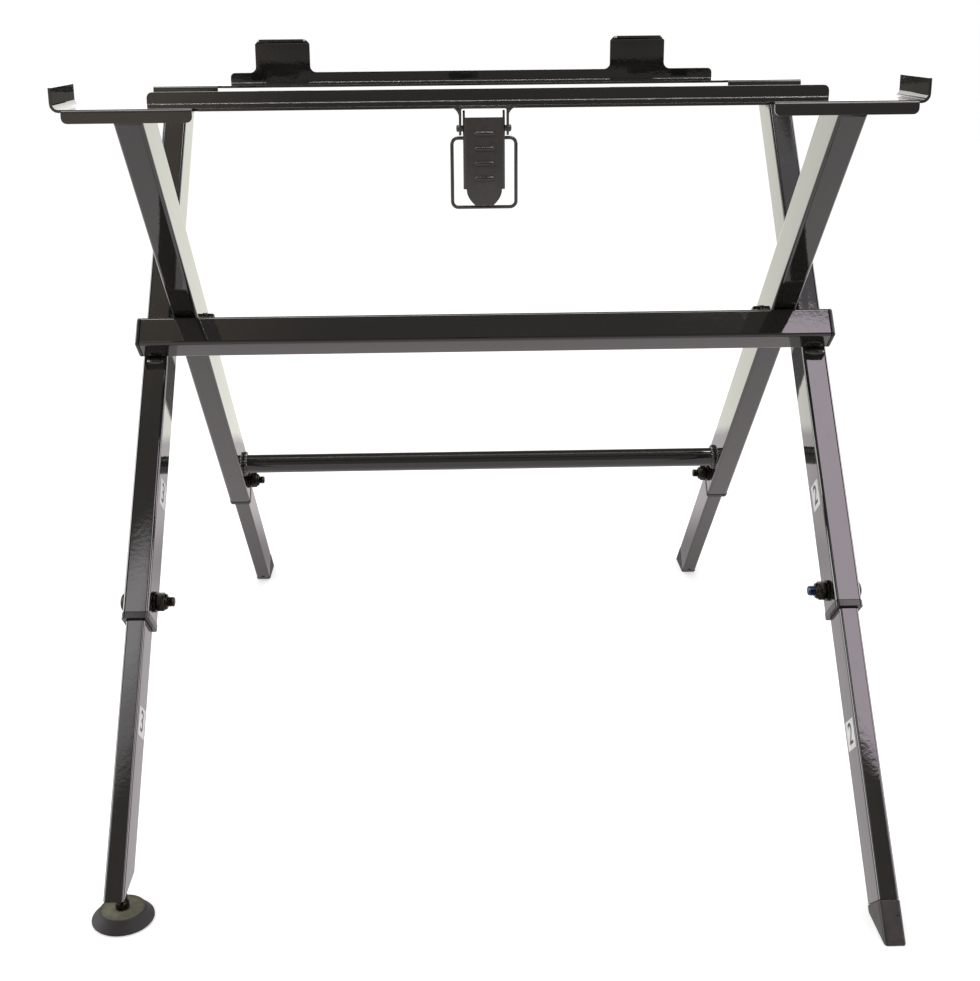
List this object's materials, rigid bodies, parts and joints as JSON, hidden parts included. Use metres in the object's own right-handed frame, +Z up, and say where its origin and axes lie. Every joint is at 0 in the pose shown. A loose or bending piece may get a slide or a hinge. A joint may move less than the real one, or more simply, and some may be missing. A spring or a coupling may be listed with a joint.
{
  "type": "miter saw stand",
  "caption": "Folding steel stand with crossed telescoping legs and two flanged plates that carry a miter saw's base, with rear hold-down hooks, a front draw latch and a levelling foot.",
  "frame": {"origin": "on the floor under the middle of the stand's width and depth", "axes": "+X to the right seen from the front, +Y from the front with the latch to the rear, +Z up"},
  "size_m": [0.5858, 0.733, 0.595],
  "materials": {
    "black_gloss_paint": "high gloss",
    "black_plastic": "matt moulded",
    "black_rubber": "matt",
    "blackened_steel": "blackened",
    "black_latch_coating": "satin"
  },
  "bodies": {
    "outer_frame": {"outer_tube_left": "black_gloss_paint", "outer_tube_right": "black_gloss_paint", "stop_beam": "black_gloss_paint", "beam_cap_left": "black_plastic", "beam_cap_right": "black_plastic", "rear_plate": "black_gloss_paint", "collar_front_left": "black_plastic", "collar_front_right": "black_plastic", "pivot_bolt_left": "blackened_steel", "pivot_bolt_right": "blackened_steel", "pivot_washer_left": "blackened_steel", "pivot_washer_right": "blackened_steel", "pivot_spacer_left": "black_plastic", "pivot_spacer_right": "black_plastic", "pivot_nut_left": "blackened_steel", "pivot_nut_right": "blackened_steel", "leg_bolt_front_left": "blackened_steel", "leg_bolt_front_right": "blackened_steel", "leg_washer_front_left": "blackened_steel", "leg_washer_front_right": "blackened_steel", "leg_nut_front_left": "blackened_steel", "leg_nut_front_right": "blackened_steel"},
    "inner_frame": {"inner_tube_left": "black_gloss_paint", "inner_tube_right": "black_gloss_paint", "cross_bar": "black_gloss_paint", "front_plate": "black_gloss_paint", "collar_rear_left": "black_plastic", "collar_rear_right": "black_plastic", "leg_bolt_rear_left": "blackened_steel", "leg_bolt_rear_right": "blackened_steel", "leg_washer_rear_left": "blackened_steel", "leg_washer_rear_right": "blackened_steel", "leg_nut_rear_left": "blackened_steel", "leg_nut_rear_right": "blackened_steel", "latch_bracket": "black_latch_coating", "latch_pin": "blackened_steel"},
    "lower_leg_front_left": {"lower_tube_front_left": "black_gloss_paint", "foot_block": "blackened_steel"},
    "levelling_foot": {"foot_stem": "blackened_steel", "foot_pad": "black_rubber"},
    "lower_leg_front_right": {"lower_tube_front_right": "black_gloss_paint", "foot_front_right": "black_plastic"},
    "lower_leg_rear_left": {"lower_tube_rear_left": "black_gloss_paint", "foot_rear_left": "black_plastic"},
    "lower_leg_rear_right": {"lower_tube_rear_right": "black_gloss_paint", "foot_rear_right": "black_plastic"},
    "latch_lever": {"latch_lever": "black_latch_coating"},
    "latch_bail": {"latch_bail": "blackened_steel"}
  },
  "joints": [
    {"name": "fold", "type": "hinge", "parent": "outer_frame", "child": "inner_frame", "pos_m": [0, -0.02739, 0.3702], "axis": [-1, 0, 0], "range_deg": [0, 74]},
    {"name": "leg_front_left", "type": "slide", "parent": "outer_frame", "child": "lower_leg_front_left", "axis": [0, -0.6526, -0.7577], "range_m": [0, 0.1]},
    {"name": "leg_front_right", "type": "slide", "parent": "outer_frame", "child": "lower_leg_front_right", "axis": [0, -0.6526, -0.7577], "range_m": [0, 0.1]},
    {"name": "leg_rear_left", "type": "slide", "parent": "inner_frame", "child": "lower_leg_rear_left", "axis": [0, 0.709, -0.7053], "range_m": [0, 0.1]},
    {"name": "leg_rear_right", "type": "slide", "parent": "inner_frame", "child": "lower_leg_rear_right", "axis": [0, 0.709, -0.7053], "range_m": [0, 0.1]},
    {"name": "foot_height", "type": "slide", "parent": "lower_leg_front_left", "child": "levelling_foot", "axis": [0, 0, -1], "range_m": [0, 0.008]},
    {"name": "latch_open", "type": "hinge", "parent": "inner_frame", "child": "latch_lever", "pos_m": [-0.0058, -0.23678, 0.5419], "axis": [-1, 0, 0], "range_deg": [0, 110]},
    {"name": "bail_swing", "type": "hinge", "parent": "latch_lever", "child": "latch_bail", "pos_m": [-0.0058, -0.23678, 0.5356], "axis": [-1, 0, 0], "range_deg": [-90, 90]}
  ]
}
